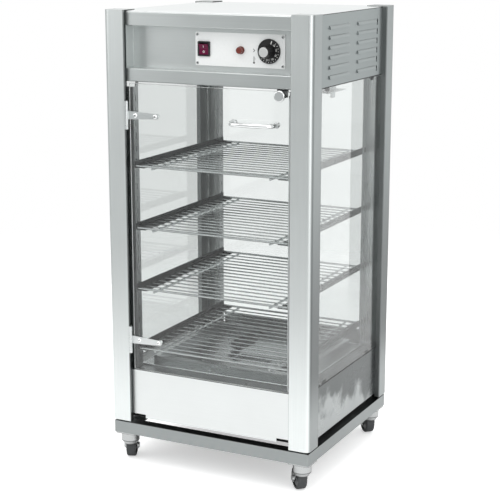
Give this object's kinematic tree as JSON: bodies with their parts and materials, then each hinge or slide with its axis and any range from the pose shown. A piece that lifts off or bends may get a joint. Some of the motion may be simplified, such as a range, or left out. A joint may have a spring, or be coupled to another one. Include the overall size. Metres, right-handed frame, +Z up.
{
  "type": "heated display case",
  "caption": "Upright heated food display case: stainless corner posts, glass walls and door, lift-out wire shelves and drip tray, recessed controls, swivel casters",
  "frame": {"origin": "on the floor, under the centre of the overall box, handle and cable gland included", "axes": "+Z up; -Y is the front with the door and the controls; +X to the right seen from the front"},
  "size_m": [0.48, 0.495, 1],
  "materials": {
    "stainless_sheet": "brushed",
    "clear_glass": "polished",
    "polished_metal": "polished",
    "chrome_wire": "polished",
    "zinc_steel": "zinc plated",
    "white_plate": "satin",
    "black_plastic": "satin",
    "dark_plastic": "satin",
    "red_plastic": "gloss",
    "lamp_lens": "gloss",
    "dial_disc": "satin",
    "heater_sheath": "dull",
    "grey_rubber": "matt"
  },
  "bodies": {
    "cabinet": {"base_plate": "stainless_sheet", "cable_gland": "black_plastic", "caster_plates": "zinc_steel", "ceiling_panel": "stainless_sheet", "control_panel": "stainless_sheet", "door_header_rail": "stainless_sheet", "frame_spacers": "dark_plastic", "glass_clips": "stainless_sheet", "heater_element": "heater_sheath", "hinge_brackets": "stainless_sheet", "label_plate": "white_plate", "label_screws": "zinc_steel", "left_glass": "clear_glass", "left_shelf_rails": "stainless_sheet", "lower_back_panel": "stainless_sheet", "lower_front_panel": "stainless_sheet", "lower_left_panel": "stainless_sheet", "lower_right_panel": "stainless_sheet", "magnetic_catch": "dark_plastic", "pilot_lamp": "lamp_lens", "post_front_left": "stainless_sheet", "post_front_right": "stainless_sheet", "post_rear_left": "stainless_sheet", "post_rear_right": "stainless_sheet", "rear_glass": "clear_glass", "right_glass": "clear_glass", "right_shelf_rails": "stainless_sheet", "shelf_uprights": "stainless_sheet", "sill_frame": "stainless_sheet", "switch_body": "black_plastic", "temperature_probe": "zinc_steel", "thermostat_body": "dark_plastic", "top_back_panel": "stainless_sheet", "top_cover": "stainless_sheet", "top_front_rail": "stainless_sheet", "top_left_panel": "stainless_sheet", "top_right_panel": "stainless_sheet", "underframe_cross_rails": "stainless_sheet", "underframe_side_rails": "stainless_sheet"},
    "door": {"door_glass": "clear_glass", "hinge_straps": "polished_metal", "door_screws": "polished_metal", "door_handle": "polished_metal", "strike_disc": "polished_metal"},
    "rocker": {"switch_rocker": "red_plastic"},
    "dial": {"dial_knob": "black_plastic", "dial_cap": "dial_disc"},
    "tray": {"drip_tray": "stainless_sheet"},
    "shelf_1_body": {"shelf_1": "chrome_wire"},
    "shelf_2_body": {"shelf_2": "chrome_wire"},
    "shelf_3_body": {"shelf_3": "chrome_wire"},
    "shelf_4_body": {"shelf_4": "chrome_wire"},
    "fork_front_left": {"caster_fork_front_left": "zinc_steel"},
    "wheel_front_left": {"caster_wheel_front_left": "grey_rubber"},
    "fork_front_right": {"caster_fork_front_right": "zinc_steel"},
    "wheel_front_right": {"caster_wheel_front_right": "grey_rubber"},
    "fork_rear_left": {"caster_fork_rear_left": "zinc_steel"},
    "wheel_rear_left": {"caster_wheel_rear_left": "grey_rubber"},
    "fork_rear_right": {"caster_fork_rear_right": "zinc_steel"},
    "wheel_rear_right": {"caster_wheel_rear_right": "grey_rubber"}
  },
  "joints": [
    {"name": "door_hinge", "type": "hinge", "parent": "cabinet", "child": "door", "pos_m": [-0.188, -0.2175, 0.781], "axis": [0, 0, -1], "range_deg": [0, 115]},
    {"name": "rocker_pivot", "type": "hinge", "parent": "cabinet", "child": "rocker", "pos_m": [-0.0215, -0.177, 0.924], "axis": [-1, 0, 0], "range_deg": [0, 20]},
    {"name": "dial_turn", "type": "hinge", "parent": "cabinet", "child": "dial", "pos_m": [0.127, -0.178, 0.924], "axis": [0, 1, 0], "range_deg": [0, 270]},
    {"name": "tray_lift", "type": "slide", "parent": "cabinet", "child": "tray", "axis": [0, 0, 1], "range_m": [0, 0.02]},
    {"name": "shelf_1_lift", "type": "slide", "parent": "cabinet", "child": "shelf_1_body", "axis": [0, 0, 1], "range_m": [0, 0.02]},
    {"name": "shelf_2_lift", "type": "slide", "parent": "cabinet", "child": "shelf_2_body", "axis": [0, 0, 1], "range_m": [0, 0.02]},
    {"name": "shelf_3_lift", "type": "slide", "parent": "cabinet", "child": "shelf_3_body", "axis": [0, 0, 1], "range_m": [0, 0.02]},
    {"name": "shelf_4_lift", "type": "slide", "parent": "cabinet", "child": "shelf_4_body", "axis": [0, 0, 1], "range_m": [0, 0.02]},
    {"name": "swivel_front_left", "type": "hinge", "parent": "cabinet", "child": "fork_front_left", "pos_m": [-0.212, -0.1875, 0.065], "axis": [0, 0, 1], "continuous": true},
    {"name": "roll_front_left", "type": "hinge", "parent": "fork_front_left", "child": "wheel_front_left", "pos_m": [-0.21874, -0.17081, 0.025], "axis": [0.9272, 0.3746, 0], "continuous": true},
    {"name": "swivel_front_right", "type": "hinge", "parent": "cabinet", "child": "fork_front_right", "pos_m": [0.212, -0.1875, 0.065], "axis": [0, 0, 1], "continuous": true},
    {"name": "roll_front_right", "type": "hinge", "parent": "fork_front_right", "child": "wheel_front_right", "pos_m": [0.1995, -0.17455, 0.025], "axis": [0.7193, 0.6947, 0], "continuous": true},
    {"name": "swivel_rear_left", "type": "hinge", "parent": "cabinet", "child": "fork_rear_left", "pos_m": [-0.212, 0.1975, 0.065], "axis": [0, 0, 1], "continuous": true},
    {"name": "roll_rear_left", "type": "hinge", "parent": "fork_rear_left", "child": "wheel_rear_left", "pos_m": [-0.21666, 0.21489, 0.025], "axis": [0.9659, 0.2588, 0], "continuous": true},
    {"name": "swivel_rear_right", "type": "hinge", "parent": "cabinet", "child": "fork_rear_right", "pos_m": [0.212, 0.1975, 0.065], "axis": [0, 0, 1], "continuous": true},
    {"name": "roll_rear_right", "type": "hinge", "parent": "fork_rear_right", "child": "wheel_rear_right", "pos_m": [0.19996, 0.21088, 0.025], "axis": [0.7431, 0.6691, 0], "continuous": true}
  ]
}
